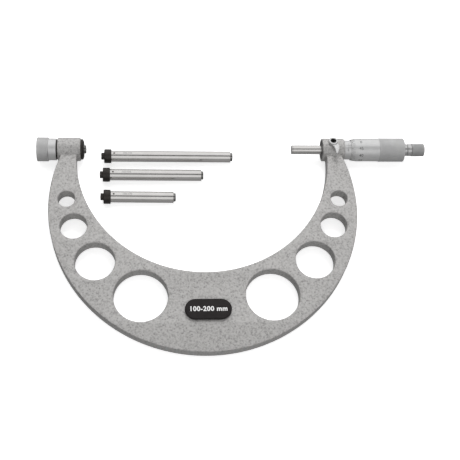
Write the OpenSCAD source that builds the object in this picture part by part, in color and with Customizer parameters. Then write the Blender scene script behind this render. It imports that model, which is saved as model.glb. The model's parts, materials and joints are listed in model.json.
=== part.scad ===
// Outside micrometer with interchangeable anvils, 100 to 200 mm, in millimetres.
// Origin: centre of the mounted anvil's measuring face.
// +X points along the measuring axis to the spindle, +Z is the frame's front, and the bow hangs to -Y.
// The micrometer lies on its back on a table that slopes a little, because the thimble is thicker than the bow.
// Threads are plain cylinders with a running clearance.

/* [Measuring range] */
// Gap between the faces when the scale reads zero, with the shortest anvil fitted
gap_at_zero = 175; // [175:1:175]
// Scale reading as the micrometer is left
reading = 2.98; // [0:0.01:25]
// Longest reading of the scale
scale_length = 25; // [25:1:25]
// Step in length from one anvil to the next
anvil_step = 25; // [25:1:25]

/* [Bow] */
// Thickness of the bow
bow_t = 11; // [10.5:0.5:11.5]
// Width of the chamfer round every edge of the bow
bow_edge = 0.9; // [0.4:0.1:1.2]
// Radius of the bow's outer edge
bow_outer_r = 129.8; // [129:0.1:130.5]
// How far the outer edge's centre lies below the measuring axis
bow_outer_drop = 55.35; // [55:0.05:56]
// Radius of the bow's inner edge
bow_inner_r = 107.8; // [107:0.1:108.5]
// How far the inner edge's centre lies below the measuring axis
bow_inner_drop = 9.3; // [9:0.1:10]
// Directions of the lightening holes below the inner edge's centre, in degrees
hole_angles = [19.6, 31.3, 47.2, 67.4];
// Radii of the lightening holes
hole_radii = [7.1, 11.2, 16.4, 22.0];
// How far the holes sit inside the middle line of the bow
hole_inset = 0.7; // [0:0.1:1.5]

/* [Hubs] */
// Diameter of the two hubs
hub_d = 20; // [19.6:0.2:20.2]
// Length of each hub along the measuring axis
hub_len = 19.6; // [19.2:0.2:20]
// Distance between the hubs' inner ends
hub_gap = 209; // [208.5:0.5:209.5]

/* [Anvil end] */
// Diameter of the anvil rods
rod_d = 9.5; // [9.3:0.1:9.6]
// Length of the shortest anvil from its collar to its measuring face
rod_len = 30; // [30:1:30]
// Diameter of an anvil's adjusting collar
collar_d = 12; // [11.8:0.1:12.2]
// Length of an anvil's adjusting collar
collar_len = 6; // [5.8:0.1:6]
// Diameter of the nut that locks the collar
end_nut_d = 6; // [5.8:0.1:6.4]
// Length of the nut that locks the collar
end_nut_len = 2.6; // [2.4:0.1:2.8]
// Turn of the small hole in an anvil's rod from the front towards the top, in degrees
hole_turn = 6; // [0:1:10]
// Diameter of the flange on the anvil bush
flange_d = 17.6; // [17.2:0.1:18]
// Diameter of the knurled part of the clamp cap
cap_d = 20.6; // [20.6:0.1:20.8]
// Diameter of the plain neck of the clamp cap
cap_neck_d = 18.7; // [18.4:0.1:19]
// Length of the clamp cap
cap_len = 16.2; // [16:0.1:16.6]
// Length of the knurled part of the clamp cap
cap_knurl_len = 9.1; // [8.8:0.1:9.4]

/* [Micrometer head] */
// Diameter of the spindle
spindle_d = 7.8; // [7.7:0.05:7.9]
// Pitch of the spindle thread
screw_pitch = 0.5; // [0.5:0.5:0.5]
// Diameter of the graduated sleeve
sleeve_d = 16.7; // [16.5:0.1:16.8]
// Diameter of the thimble's plain barrel
barrel_d = 19.9; // [19.7:0.1:20.1]
// Diameter of the thimble's knurled end
grip_d = 20.6; // [20.4:0.1:20.6]
// Length of the thimble
thimble_len = 47.1; // [46.8:0.1:47.4]
// Length of the thimble's knurled end
grip_len = 22.2; // [22:0.1:22.4]
// Diameter of the ratchet's rings
ratchet_ring_d = 10.4; // [10.2:0.1:10.5]
// Diameter of the ratchet knob
knob_d = 11; // [10.8:0.1:11.2]
// Length of the ratchet knob
knob_len = 11.1; // [10.8:0.1:11.4]

/* [Spindle lock] */
// Distance of the lock's axis from the left end of its hub
lock_from_end = 9.1; // [8.8:0.1:9.4]
// Lean of the lock's axis from the front towards the top, in degrees
lock_lean = 12; // [8:1:16]
// Turn of the lever's tail from straight down, in degrees
lever_turn = 6.5; // [0:0.5:15]
// Length of the lever from its axis to its tip
lever_reach = 14.2; // [13:0.1:15]

/* [Badge] */
// Length of the badge pad
badge_len = 37.6; // [37:0.1:38.2]
// Height of the badge pad
badge_h = 17; // [16.4:0.1:17.4]
// Thickness of the badge pad
badge_t = 2.6; // [2.2:0.1:3]
// How far the badge sits to the right of the middle of the bow
badge_shift = 0.5; // [0:0.1:1]

/* [Loose anvils] */
// Where the collars of the three loose anvils lie along the measuring axis, longest anvil first
loose_x = [21.3, 20.4, 21.3];
// Where the three loose anvils lie across the measuring axis, longest anvil first
loose_y = [-4.3, -22.8, -44.3];

/* [Hidden] */
$fn = 96;

fit = 0.03;                 // running clearance on the radius
cut = 0.5;                  // how far a cutter passes through a face
mid_x = 100;                // plane of symmetry of the bow
hub_left_in = mid_x - hub_gap / 2;
hub_left_out = hub_left_in - hub_len;
hub_right_in = mid_x + hub_gap / 2;
hub_right_out = hub_right_in + hub_len;
hub_r = hub_d / 2;
hub_edge = 0.8;

// Anvil end
tip_len = 1.8;
tip_r = 3.55;
rod_end_edge = 0.5;
rod_hole_r = 0.85;          // small hole beside the collar, for the tool that sets it
stem_r = 2;
bush_r = 7;
bush_face = -tip_len;       // right face of the bush's flange
seat_x = -rod_len;          // where the mounted anvil's collar bears on the bush
ring_len = 1.2;
cap_right = hub_left_out - ring_len;
cap_left = cap_right - cap_len;
cap_wall_x = seat_x - collar_len - end_nut_len - 1.4;

// Micrometer head
spindle_face = gap_at_zero + reading;
zero_line = gap_at_zero + 52;            // where the thimble's edge stands when the scale reads zero
thimble_left = zero_line + reading;
thimble_right = thimble_left + thimble_len;
spindle_r = spindle_d / 2;
screw_r = 3.5;                           // radius of the spindle's thread
spindle_tip_len = 1.5;
screw_start = thimble_left - 4;
screw_end = thimble_left + 37;
tail_r = 3.2;                            // spindle end that carries the thimble
inner_r = 7.1;                           // outside of the inner sleeve
spigot_r = 6;
spigot_len = 6;
nut_thread_x = zero_line + 22;           // where the inner sleeve's thread starts
sleeve_right = zero_line + 29;
inner_right = sleeve_right + 5;
ratchet_base_len = 3.6;
ratchet_ring_len = 3.9;
ratchet_gap = 0.15;                      // gaps on both sides of the ratchet's ring, together
ring_left = thimble_right + ratchet_base_len + ratchet_gap / 2;
knob_left = ring_left + ratchet_ring_len;
knob_right = knob_left + knob_len;
wheel_r = 3.0;
ratchet_bore_r = 3.7;
screw_shank_r = 1.2;
screw_head_r = 2.6;

// Spindle lock
lock_x = hub_right_in + lock_from_end;
lock_screw_r = 2.5;
lever_ring_r = 4.1;
lever_low = 10.35;          // underside of the lever's tail, measured out from the spindle's axis
lever_high = 12.2;

// The table's surface, seen from the measuring axis
table_at_axis = -cap_d / 2;
bow_bottom = bow_outer_r + bow_outer_drop;
table_slope = (cap_d / 2 - bow_t / 2) / (bow_bottom - 9);
function table_z(y) = table_at_axis - table_slope * y;

// A turned solid about the measuring axis, from [x, radius] points
module turned(points) {
    rotate([0, 90, 0])
        rotate_extrude()
            polygon([for (p = points) [p[1], p[0]]]);
}

// A plain cylinder about the measuring axis
module bar(x0, x1, r) {
    translate([x0, 0, 0])
        rotate([0, 90, 0])
            cylinder(h = x1 - x0, r = r);
}

// A turned solid about a vertical axis, from [radius, z] points
module disc(points) {
    rotate_extrude()
        polygon(points);
}

// A cutter for a round opening in the bow, with a chamfer at both faces
module bow_cutter(r) {
    h = bow_t / 2 + cut;
    disc([
        [0, -h], [r + bow_edge + cut, -h], [r, bow_edge - bow_t / 2],
        [r, bow_t / 2 - bow_edge], [r + bow_edge + cut, h], [0, h]
    ]);
}

// Frame

// Distance from the inner edge's centre to the outer edge, in a direction below the level
function outer_reach(angle) =
    let (drop = bow_outer_drop - bow_inner_drop)
    drop * sin(angle) + sqrt(pow(bow_outer_r, 2) - pow(drop * cos(angle), 2));

function hole_reach(angle) = (bow_inner_r + outer_reach(angle)) / 2 - hole_inset;

module bow() {
    e = bow_edge;
    h = bow_t / 2;
    difference() {
        translate([mid_x, -bow_outer_drop, 0])
            disc([
                [0, -h], [bow_outer_r - e, -h], [bow_outer_r, e - h],
                [bow_outer_r, h - e], [bow_outer_r - e, h], [0, h]
            ]);
        translate([mid_x, -bow_inner_drop, 0])
            bow_cutter(bow_inner_r);
        translate([mid_x - bow_outer_r - cut, -1, -bow_t])
            cube([2 * (bow_outer_r + cut), bow_outer_r, 2 * bow_t]);
        for (side = [-1, 1], i = [0 : len(hole_radii) - 1])
            translate([
                mid_x + side * hole_reach(hole_angles[i]) * cos(hole_angles[i]),
                -bow_inner_drop - hole_reach(hole_angles[i]) * sin(hole_angles[i]),
                0
            ])
                bow_cutter(hole_radii[i]);
    }
}

module hub(x0) {
    turned([
        [x0, 0], [x0, hub_r - hub_edge], [x0 + hub_edge, hub_r],
        [x0 + hub_len - hub_edge, hub_r], [x0 + hub_len, hub_r - hub_edge], [x0 + hub_len, 0]
    ]);
}

// Places its children on the lock's axis, with +Z outwards and -Y down the lever
module at_lock() {
    translate([lock_x, 0, 0])
        rotate([-lock_lean, 0, 0])
            children();
}

module frame() {
    color([0.66, 0.66, 0.64])
        difference() {
            union() {
                bow();
                hub(hub_left_out);
                hub(hub_right_in);
            }
            bar(hub_left_out - cut, hub_left_in + cut, bush_r);
            bar(hub_right_in - cut, hub_right_out + cut, spindle_r + fit);
            bar(hub_right_out - spigot_len, hub_right_out + cut, spigot_r);
            at_lock()
                cylinder(h = hub_d, r = lock_screw_r + fit);
            at_lock()
                translate([0, 0, lever_low - 1])
                    cylinder(h = hub_r, r = lever_ring_r + 0.3);
        }
}

module badge_pad() {
    r = badge_h / 2;
    y = -bow_bottom + 35.2;
    half = badge_len / 2 - r;
    color([0.1, 0.1, 0.1])
        translate([mid_x + badge_shift, y, bow_t / 2])
            linear_extrude(badge_t)
                union() {
                    square([2 * half, badge_h], center = true);
                    for (side = [-1, 1])
                        translate([side * half, 0])
                            circle(r);
                }
}

// Anvil bush, pressed through the left hub, with the clamp cap's thread on its outer end
module anvil_bush() {
    bore = rod_d / 2 + fit;
    face_r = 7;
    color([0.13, 0.12, 0.11])
        turned([
            [seat_x, bore], [seat_x, bush_r - 0.4], [seat_x + 0.4, bush_r], [hub_left_in, bush_r],
            [hub_left_in, flange_d / 2], [bush_face - 1.1, flange_d / 2], [bush_face, face_r],
            [bush_face, bore]
        ]);
}

// Ring that the clamp cap stands off the hub by
module stop_ring() {
    x1 = hub_left_out;
    x0 = x1 - ring_len + 0.1;
    color([0.13, 0.12, 0.11])
        turned([[x0, bush_r], [x0, 8.5], [x1, 8.5], [x1, bush_r]]);
}

module clamp_cap() {
    knurl_end = cap_left + cap_knurl_len;
    r = cap_d / 2;
    neck_r = cap_neck_d / 2;
    chamber_r = collar_d / 2 + 0.3;
    color([0.72, 0.72, 0.7])
        turned([
            [cap_left, 0], [cap_left, r - 0.9], [cap_left + 0.3, r - 0.3], [cap_left + 0.9, r],
            [knurl_end - 0.3, r], [knurl_end + 0.7, neck_r], [cap_right - 0.3, neck_r],
            [cap_right, neck_r - 0.3], [cap_right, bush_r + fit], [seat_x - 0.6, bush_r + fit],
            [seat_x - 0.6, chamber_r], [cap_wall_x, chamber_r], [cap_wall_x, 0]
        ]);
}

// Hard pad in the clamp cap that bears on the end of the anvil
module thrust_pad() {
    color([0.5, 0.5, 0.5])
        bar(cap_wall_x, cap_wall_x + 1.4, 5.5);
}

// Anvils: every piece is drawn with the collar's bearing face at x = 0 and the rod along +X

module anvil_rod(length) {
    r = rod_d / 2;
    end = length - tip_len;
    color([0.75, 0.74, 0.72])
        difference() {
            turned([
                [-collar_len - end_nut_len + 0.3, 0], [-collar_len - end_nut_len + 0.3, stem_r], [0, stem_r],
                [0, r - 0.2], [0.2, r], [end - rod_end_edge, r], [end, r - rod_end_edge], [end, 0]
            ]);
            rotate([-hole_turn, 0, 0])
                translate([2.6, 0, 0])
                    cylinder(h = rod_d, r = rod_hole_r);
        }
}

module anvil_tip(length) {
    color([0.3, 0.3, 0.3])
        turned([
            [length - tip_len, 0], [length - tip_len, tip_r], [length - 0.2, tip_r],
            [length, tip_r - 0.2], [length, 0]
        ]);
}

module anvil_collar() {
    r = collar_d / 2;
    color([0.13, 0.12, 0.11])
        turned([
            [-collar_len, stem_r], [-collar_len, r - 0.4], [0.4 - collar_len, r],
            [-0.4, r], [0, r - 0.4], [0, stem_r]
        ]);
}

module anvil_nut() {
    x1 = -collar_len;
    x0 = x1 - end_nut_len;
    r = end_nut_d / 2;
    color([0.13, 0.12, 0.11])
        turned([[x0, stem_r], [x0, r - 0.3], [x0 + 0.3, r], [x1, r], [x1, stem_r]]);
}

// The mounted anvil, with its collar against the bush
module mounted() {
    translate([seat_x, 0, 0])
        children();
}

function loose_len(i) = rod_len + (3 - i) * anvil_step;

// A loose anvil lies on its collar and on the end of its rod, so its axis slopes down to the right
module loose(i) {
    slope = atan((collar_d - rod_d) / 2 / (loose_len(i) - tip_len - rod_end_edge));
    lift = collar_d / 2 / cos(slope);
    translate([loose_x[i], loose_y[i], table_z(loose_y[i]) + lift + 0.05])
        rotate([0, slope, 0])
            children();
}

// Micrometer head

// Inner sleeve: guides the spindle, and its split, tapered end is the nut of the spindle's thread
module inner_sleeve() {
    bore = spindle_r + fit;
    color([0.6, 0.6, 0.6])
        difference() {
            turned([
                [hub_right_out - spigot_len, bore], [hub_right_out - spigot_len, spigot_r],
                [hub_right_out, spigot_r], [hub_right_out, inner_r], [sleeve_right, inner_r],
                [sleeve_right, 6.4], [inner_right, 5.8], [inner_right, screw_r + fit],
                [nut_thread_x, screw_r + fit], [nut_thread_x, bore]
            ]);
            for (turn = [0, 90])
                rotate([turn, 0, 0])
                    translate([nut_thread_x + 2, -10, -0.3])
                        cube([inner_right - nut_thread_x, 20, 0.6]);
        }
}

module graduated_sleeve() {
    r = sleeve_d / 2;
    color([0.8, 0.8, 0.79])
        turned([
            [hub_right_out, inner_r], [hub_right_out, r], [sleeve_right - 0.4, r],
            [sleeve_right, r - 0.4], [sleeve_right, inner_r]
        ]);
}

// Nut on the taper, which closes the split sleeve to take up wear
module adjusting_nut() {
    x0 = sleeve_right + 0.3;
    x1 = x0 + 4;
    color([0.55, 0.55, 0.55])
        turned([
            [x0, 6.4 + fit], [x0, 7.8], [x1 - 0.4, 7.8], [x1, 7.4],
            [x1, 5.95 + fit]
        ]);
}

module spindle() {
    end = thimble_right - 0.2;
    color([0.74, 0.73, 0.71])
        difference() {
            turned([
                [spindle_face + spindle_tip_len, 0], [spindle_face + spindle_tip_len, spindle_r],
                [screw_start, spindle_r], [screw_start + 0.3, screw_r], [screw_end, screw_r],
                [screw_end, tail_r], [end, tail_r], [end, 0]
            ]);
            bar(screw_end + 1, end + cut, screw_shank_r + 2 * fit);
        }
}

module spindle_tip() {
    x0 = spindle_face;
    x1 = x0 + spindle_tip_len;
    color([0.4, 0.4, 0.4])
        turned([[x0, 0], [x0, spindle_r - 0.2], [x0 + 0.2, spindle_r], [x1, spindle_r], [x1, 0]]);
}

module thimble() {
    edge_r = 9.1;
    bevel_len = 5;
    bore = sleeve_d / 2 + 0.12;
    knurl_left = thimble_right - grip_len;
    r = barrel_d / 2;
    gr = grip_d / 2;
    color([0.78, 0.78, 0.77])
        turned([
            [thimble_left, bore], [thimble_left, edge_r - 0.15], [thimble_left + 0.1, edge_r],
            [thimble_left + bevel_len, r], [knurl_left, r], [knurl_left + 0.35, gr],
            [thimble_right - 1.2, gr], [thimble_right - 0.35, gr - 0.45], [thimble_right, gr - 1.2],
            [thimble_right, tail_r + fit], [screw_end + 0.05, tail_r + fit], [screw_end + 0.05, bore]
        ]);
}

// Ratchet: a saw-toothed wheel that is fixed to the thimble, and a sprung pawl in the ring that turns round it
tooth_count = 12;

module ratchet_base() {
    r = ratchet_ring_d / 2;
    x0 = thimble_right;
    x1 = x0 + ratchet_base_len;
    color([0.78, 0.78, 0.77]) {
        turned([
            [x0, screw_shank_r + fit], [x0, r - 0.3], [x0 + 0.3, r], [x1 - 0.3, r], [x1, r - 0.3],
            [x1, screw_shank_r + fit]
        ]);
        translate([x1, 0, 0])
            rotate([0, 90, 0])
                linear_extrude(ratchet_ring_len - 0.8)
                    difference() {
                        polygon([
                            for (i = [0 : tooth_count - 1], k = [0, 1])
                                let (a = 360 * (i + k * 0.96) / tooth_count, r = wheel_r - 0.5 * k)
                                [r * cos(a), r * sin(a)]
                        ]);
                        circle(screw_shank_r + fit);
                    }
    }
}

module ratchet_ring() {
    r = ratchet_ring_d / 2;
    x0 = ring_left;
    x1 = knob_left - 0.02;
    floor_x = x1 - 0.6;
    color([0.78, 0.78, 0.77])
        difference() {
            turned([
                [x0, ratchet_bore_r], [x0, r - 0.3], [x0 + 0.3, r], [x1 - 0.3, r], [x1, r - 0.3],
                [x1, screw_shank_r + 2 * fit], [floor_x, screw_shank_r + 2 * fit], [floor_x, ratchet_bore_r]
            ]);
            translate([(x0 + floor_x) / 2, 0, 0])
                cylinder(h = 4.5, r = 0.6);
        }
}

module ratchet_pawl() {
    x = (ring_left + knob_left - 0.62) / 2;
    color([0.5, 0.5, 0.5])
        translate([x, 0, wheel_r + 0.08])
            cylinder(h = 0.75, r = 0.55);
}

// A small coil spring: a round wire swept along a helix
module pawl_spring() {
    x = (ring_left + knob_left - 0.62) / 2;
    coil_r = 0.4;
    wire_r = 0.09;
    z0 = wheel_r + 0.95;
    height = 0.4;
    turns = 2.5;
    sides = 6;
    steps = 30;
    function place(t, a) =
        let (turn = 360 * turns * t, r = coil_r + wire_r * cos(a))
        [x + r * cos(turn), r * sin(turn), z0 + height * t + wire_r * sin(a)];
    points = [for (s = [0 : steps], k = [0 : sides - 1]) place(s / steps, 360 * k / sides)];
    walls = [
        for (s = [0 : steps - 1], k = [0 : sides - 1])
            let (n = (k + 1) % sides)
            [s * sides + k, s * sides + n, (s + 1) * sides + n, (s + 1) * sides + k]
    ];
    first = [for (k = [0 : sides - 1]) sides - 1 - k];
    last = [for (k = [0 : sides - 1]) steps * sides + k];
    color([0.6, 0.6, 0.6])
        polyhedron(points = points, faces = concat(walls, [first, last]));
}

module ratchet_knob() {
    r = knob_d / 2;
    x0 = knob_left;
    x1 = knob_right;
    recess_x = x1 - 2;
    color([0.7, 0.7, 0.69])
        turned([
            [x0, screw_shank_r + 2 * fit], [x0, r - 0.5], [x0 + 0.5, r], [x1 - 0.9, r],
            [x1 - 0.25, r - 0.35], [x1, r - 0.9], [x1, screw_head_r + 0.2],
            [recess_x, screw_head_r + 0.2], [recess_x, screw_shank_r + 2 * fit]
        ]);
}

module ratchet_screw() {
    head_x = knob_right - 2 + 0.05;
    head_len = 1.5;
    color([0.35, 0.35, 0.35])
        difference() {
            union() {
                bar(screw_end + 2, head_x + 0.1, screw_shank_r);
                turned([
                    [head_x, 0], [head_x, screw_head_r], [head_x + head_len - 0.3, screw_head_r],
                    [head_x + head_len, screw_head_r - 0.4], [head_x + head_len, 0]
                ]);
            }
            translate([head_x + head_len - 0.6, -screw_head_r - cut, -0.35])
                cube([1, 2 * (screw_head_r + cut), 0.7]);
        }
}

// Spindle lock

// Brass shoe between the lock's screw and the spindle
module lock_shoe() {
    color([0.75, 0.6, 0.3])
        at_lock()
            difference() {
                translate([0, 0, spindle_r - 0.6])
                    cylinder(h = 2.4, r = lock_screw_r - 0.1);
                rotate([0, 90, 0])
                    cylinder(h = 4 * lock_screw_r, r = spindle_r + 2 * fit, center = true);
            }
}

// Half width of the lever's tail, from its root (0) to its tip (1)
function tail_half(t) = 3.3 * pow(1 - t, 0.8) + 0.35;

// Sideways bend of the tail's middle line
function tail_bend(t) = 1.5 * sin(180 * t);

module lever_tail() {
    steps = 12;
    left = [for (i = [0 : steps]) let (t = i / steps) [tail_bend(t) - tail_half(t), -t * (lever_reach - 0.3)]];
    right = [for (i = [steps : -1 : 0]) let (t = i / steps) [tail_bend(t) + tail_half(t), -t * (lever_reach - 0.3)]];
    polygon(concat(left, right));
}

module lock_lever() {
    color([0.75, 0.75, 0.74])
        at_lock()
            rotate([0, 0, lever_turn])
                difference() {
                    union() {
                        translate([0, 0, lever_low - 0.8])
                            cylinder(h = lever_high - lever_low + 0.8, r = lever_ring_r);
                        translate([0, 0, lever_low])
                            linear_extrude(1.3)
                                lever_tail();
                    }
                    translate([0, 0, lever_low - 2])
                        cylinder(h = 5, r = lock_screw_r);
                }
}

module lock_screw() {
    z0 = spindle_r + 2.1;
    color([0.08, 0.08, 0.08])
        at_lock()
            rotate([0, 0, lever_turn])
                difference() {
                    translate([0, 0, z0])
                        cylinder(h = lever_high - 0.35 - z0, r = lock_screw_r);
                    translate([0, 0, lever_high - 1.6])
                        cylinder(h = 2, r = 1.25, $fn = 6);
                }
}

frame();
badge_pad();
anvil_bush();
stop_ring();
inner_sleeve();
graduated_sleeve();
adjusting_nut();
lock_shoe();
lock_lever();
lock_screw();
mounted() anvil_rod(rod_len);  // anvil_175_rod
mounted() anvil_tip(rod_len);  // anvil_175_tip
mounted() anvil_collar();  // anvil_175_collar
mounted() anvil_nut();  // anvil_175_nut
thrust_pad();
clamp_cap();
loose(2) anvil_rod(loose_len(2));  // anvil_150_rod
loose(2) anvil_tip(loose_len(2));  // anvil_150_tip
loose(2) anvil_collar();  // anvil_150_collar
loose(2) anvil_nut();  // anvil_150_nut
loose(1) anvil_rod(loose_len(1));  // anvil_125_rod
loose(1) anvil_tip(loose_len(1));  // anvil_125_tip
loose(1) anvil_collar();  // anvil_125_collar
loose(1) anvil_nut();  // anvil_125_nut
loose(0) anvil_rod(loose_len(0));  // anvil_100_rod
loose(0) anvil_tip(loose_len(0));  // anvil_100_tip
loose(0) anvil_collar();  // anvil_100_collar
loose(0) anvil_nut();  // anvil_100_nut
spindle();
spindle_tip();
thimble();
ratchet_base();
ratchet_screw();
ratchet_ring();
ratchet_pawl();
pawl_spring();
ratchet_knob();
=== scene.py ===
"""Looks of the outside micrometer with interchangeable anvils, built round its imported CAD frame.

Dimensions are in millimetres and are turned into metres as each mesh is made.
The origin is the mounted anvil's measuring face, +X runs along the measuring axis to the spindle,
+Z is the front of the bow, and the bow hangs to -Y.
"""

import json
import math

import bmesh
import bpy
import numpy as np
from mathutils import Matrix, Vector


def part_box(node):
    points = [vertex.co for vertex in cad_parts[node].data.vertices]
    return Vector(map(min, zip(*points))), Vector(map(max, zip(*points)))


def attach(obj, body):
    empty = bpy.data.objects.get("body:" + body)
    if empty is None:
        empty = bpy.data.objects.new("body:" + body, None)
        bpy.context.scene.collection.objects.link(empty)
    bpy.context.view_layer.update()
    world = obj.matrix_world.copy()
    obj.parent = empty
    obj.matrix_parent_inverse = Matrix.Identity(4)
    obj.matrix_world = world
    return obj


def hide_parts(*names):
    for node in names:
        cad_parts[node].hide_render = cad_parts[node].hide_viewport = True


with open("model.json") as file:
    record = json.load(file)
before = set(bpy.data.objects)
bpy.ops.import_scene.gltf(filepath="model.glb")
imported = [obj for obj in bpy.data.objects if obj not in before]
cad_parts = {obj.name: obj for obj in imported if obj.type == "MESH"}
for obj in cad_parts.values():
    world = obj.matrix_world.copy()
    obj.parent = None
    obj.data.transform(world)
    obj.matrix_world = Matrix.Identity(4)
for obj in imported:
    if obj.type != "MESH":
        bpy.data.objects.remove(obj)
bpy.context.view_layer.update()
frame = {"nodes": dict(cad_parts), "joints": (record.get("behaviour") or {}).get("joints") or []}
nodes = frame["nodes"]
joints = {joint["name"]: joint for joint in frame["joints"]}

MM = 0.001
HIDDEN_DEPTH = 0.3          # how far a part that stands on another reaches into it


def cad_box(node):
    """Lowest and highest corner of a CAD node, in millimetres."""
    low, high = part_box(node)
    return low / MM, high / MM


def cad_centre(node):
    low, high = cad_box(node)
    return (low + high) / 2


def cad_ends(node):
    """Where a CAD node starts and ends along the measuring axis."""
    low, high = cad_box(node)
    return low.x, high.x


def cad_radius(node):
    """Radius of a round CAD node that lies along the measuring axis."""
    low, high = cad_box(node)
    return (high.y - low.y) / 2


# ---------------------------------------------------------------- dimensions

# Bow, as in the CAD source
BOW_T = 11.0
BOW_EDGE = 0.9
OUTER_R = 129.8
OUTER_DROP = 55.35
INNER_R = 107.8
INNER_DROP = 9.3
HOLES = [(19.6, 7.1), (31.3, 11.2), (47.2, 16.4), (67.4, 22.0)]   # direction below level, radius
HOLE_INSET = 0.7
HUB_LEN = 19.6
HUB_R = 10.0
HUB_SHADE_DISC_R = 8.3            # black disc round the bore of a hub: painted shade on its end face
HUB_LINE = math.sqrt(HUB_R ** 2 - (BOW_T / 2) ** 2)   # where the bow's faces run into a hub
FLARE_R = 1.6               # fillet between the bow's edges and the hubs, seen from the front
WEB_R = 3.0                 # fillet between the bow's faces and the hubs
WEB_ROOT = 0.6              # how far the webs reach into the bow

# Stations along the measuring axis
hub_left_x = cad_ends("stop_ring")[1]
hub_left_in = hub_left_x + HUB_LEN
hub_right_x, sleeve_x1 = cad_ends("graduated_sleeve")
hub_right_in = hub_right_x - HUB_LEN
mid_x = (hub_left_x + hub_right_x) / 2
cap_x0, cap_x1 = cad_ends("clamp_cap")
bush_x0, bush_x1 = cad_ends("anvil_bush")
thimble_x0, thimble_x1 = cad_ends("thimble")
ring_x0, ring_x1 = cad_ends("ratchet_ring")
knob_x0, knob_x1 = cad_ends("ratchet_knob")

# Anvil end
BUSH_R = 7.0
CAP_KNURL_LEN = 9.1
CAP_NECK_R = 9.35
CHAMBER_R = 6.3             # room in the clamp cap for an anvil's collar
ROD_R = 4.75
ROD_HOLE_R = 0.85
ROD_HOLE_X = 2.6
ROD_HOLE_TURN = 6.0         # degrees from the front towards the top
ROD_HOLE_DEPTH = 2.5
ROD_MARK_X = 14.0
ROD_MARK_TURN = 8.0
COLLAR_LEN = 6.0
COLLAR_R = 6.0
TIP_LEN = 1.8
TIP_R = 3.55
STEM_R = 2.0
END_NUT_R = 3.0
END_NUT_LEN = 2.6

# Micrometer head
FIT = 0.03                  # running clearance on the radius
SLEEVE_R = 8.35
SLEEVE_BORE = 7.1
SPINDLE_R = 3.9
SCREW_R = 3.5
SCREW_LEAD_IN = 4.0         # start of the screw, to the left of the thimble's edge
SCREW_END = 37.0            # from the thimble's edge
TAIL_R = 3.2                # spindle end that carries the thimble
BARREL_R = 9.95
THIMBLE_EDGE_R = 9.1
THIMBLE_BEVEL = 5.0
GRIP_R = 10.3
GRIP_LEN = 22.2
RATCHET_R = 5.2
RATCHET_BORE = 3.7
SHANK_BORE = 1.23
RATCHET_GAP = 0.075         # between the fixed base and the ring that turns
RING_FLOOR = 0.6            # thickness of the ring's right wall
WHEEL_CLEARANCE = 0.255     # between the wheel's end and that wall
WHEEL_R = 3.0
TOOTH_DEPTH = 0.5
TEETH = 12

# Spindle lock, as heights over the spindle's axis
LEVER_TURN = 6.5            # degrees from straight down
LEVER_RING_R = 4.1
LEVER_BORE = 2.52
LEVER_TOP = 12.2
LEVER_LOW = 10.35
LEVER_SEAT = 9.6            # bottom of the lever's ring, inside the hub
TAIL_LEN = 13.9
TAIL_TIP_HALF = 0.35
TAIL_SPREAD = 3.3           # added to the tail's half width at its root
TAIL_BEND = 1.5

# Scale
READING = 2.98              # the likeliest of several that the blurred scale allows
ZERO_X = thimble_x0 - READING   # where the thimble's edge stands at zero
TRAVEL = 25
PITCH = 0.5
DIVISIONS = 50
TICK_FIVE = 3.1             # lengths of the sleeve's marks at 5 mm, 1 mm and 0.5 mm
TICK_WHOLE = 2.2
TICK_BETWEEN = 1.7
SLEEVE_FIGURE = 2.0         # height of its figures, and how far they stand below the datum line
SLEEVE_FIGURE_DROP = 4.5
PLAIN_TICK = (3.2, 0.08)    # length and half width of the thimble's marks
NUMBERED_TICK = (5.6, 0.19)
THIMBLE_FIGURE = 2.7        # height of its figures, and their distance from its edge
THIMBLE_FIGURE_X = 8.3


# ---------------------------------------------------------------- materials

def node_material(name):
    """A new material with its node tree, principled shader and object coordinates."""
    material = bpy.data.materials.new(name)
    material.use_nodes = True
    tree = material.node_tree
    shader = tree.nodes["Principled BSDF"]
    place = tree.nodes.new("ShaderNodeTexCoord").outputs["Object"]
    return material, tree, shader, place


def scaled(tree, place, scale):
    """Coordinates stretched by a factor per axis."""
    mapping = tree.nodes.new("ShaderNodeMapping")
    mapping.inputs["Scale"].default_value = scale
    tree.links.new(place, mapping.inputs["Vector"])
    return mapping.outputs["Vector"]


def noise(tree, place, scale, detail=3.0, roughness=0.5):
    texture = tree.nodes.new("ShaderNodeTexNoise")
    texture.inputs["Scale"].default_value = scale
    texture.inputs["Detail"].default_value = detail
    texture.inputs["Roughness"].default_value = roughness
    tree.links.new(place, texture.inputs["Vector"])
    return texture.outputs["Fac"]


def cells(tree, place, scale, smoothness=0.6):
    """Distance to the middle of soft-edged cells."""
    texture = tree.nodes.new("ShaderNodeTexVoronoi")
    texture.feature = "SMOOTH_F1"
    texture.inputs["Scale"].default_value = scale
    texture.inputs["Smoothness"].default_value = smoothness
    tree.links.new(place, texture.inputs["Vector"])
    return texture.outputs["Distance"]


def ramp(tree, value, stops):
    """Colours by value, from (position, colour) pairs."""
    node = tree.nodes.new("ShaderNodeValToRGB")
    elements = node.color_ramp.elements
    while len(elements) < len(stops):
        elements.new(0.5)
    for element, (position, colour) in zip(elements, stops):
        element.position = position
        element.color = (*colour, 1.0)
    tree.links.new(value, node.inputs["Fac"])
    return node.outputs["Color"]


def spread(tree, value, low, high):
    """Value from 0 to 1 laid out between two others."""
    node = tree.nodes.new("ShaderNodeMapRange")
    node.inputs["To Min"].default_value = low
    node.inputs["To Max"].default_value = high
    tree.links.new(value, node.inputs["Value"])
    return node.outputs["Result"]


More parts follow.
